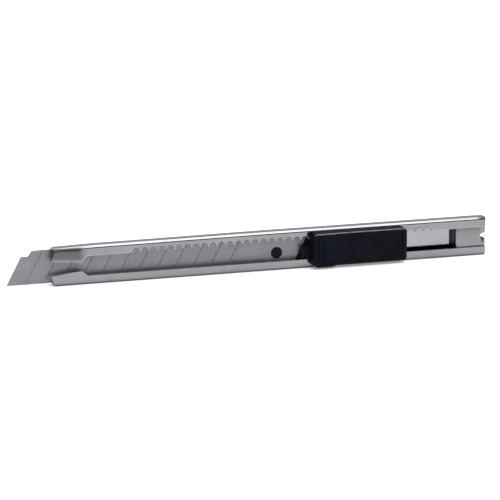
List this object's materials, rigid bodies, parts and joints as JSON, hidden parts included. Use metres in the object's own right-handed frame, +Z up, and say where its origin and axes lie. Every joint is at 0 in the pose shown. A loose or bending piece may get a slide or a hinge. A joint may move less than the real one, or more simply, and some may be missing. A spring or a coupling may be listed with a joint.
{
  "type": "utility knife",
  "caption": "Slim snap-off utility knife: folded steel channel with a scalloped lip, sliding blade with an auto-lock thumb slide, and a rear clip that snaps blades.",
  "frame": {"origin": "middle of the channel's flat bottom face, half way along the channel", "axes": "+X runs along the knife from the blade's tip to the rear end, +Z up to the blade's spine, and -Y is the slotted face with the thumb slide"},
  "size_m": [0.1348, 0.0085, 0.0107],
  "materials": {
    "channel_steel": "polished, fine wear lines",
    "blade_steel": "satin ground",
    "carrier_plastic": "moulded black",
    "spring_steel": "bright rolled",
    "cap_plastic": "moulded black, fine grain",
    "clip_steel": "polished, fine wear lines"
  },
  "bodies": {
    "body": {"body_channel": "channel_steel"},
    "carriage": {"blade_carrier": "carrier_plastic", "blade": "blade_steel"},
    "lock_spring": {"lock_spring": "spring_steel"},
    "thumb_slide": {"slider_cap": "cap_plastic"},
    "clip": {"clip_snapper": "clip_steel"}
  },
  "joints": [
    {"name": "carriage_slide", "type": "slide", "parent": "body", "child": "carriage", "axis": [-1, 0, 0], "range_m": [-0.01416, 0.05664]},
    {"name": "lock_spring_flex", "type": "hinge", "parent": "carriage", "child": "lock_spring", "pos_m": [0.03275, -0.00112, 0.0071], "axis": [0, -1, 0], "range_deg": [0, 4.2], "stiffness_Nm_per_rad": 0.02},
    {"name": "thumb_slide_play", "type": "slide", "parent": "carriage", "child": "thumb_slide", "axis": [-1, 0, 0], "range_m": [-0.0006, 0.0006], "stiffness_N_per_m": 100},
    {"name": "clip_pull", "type": "slide", "parent": "body", "child": "clip", "axis": [1, 0, 0], "range_m": [0, 0.011]}
  ]
}
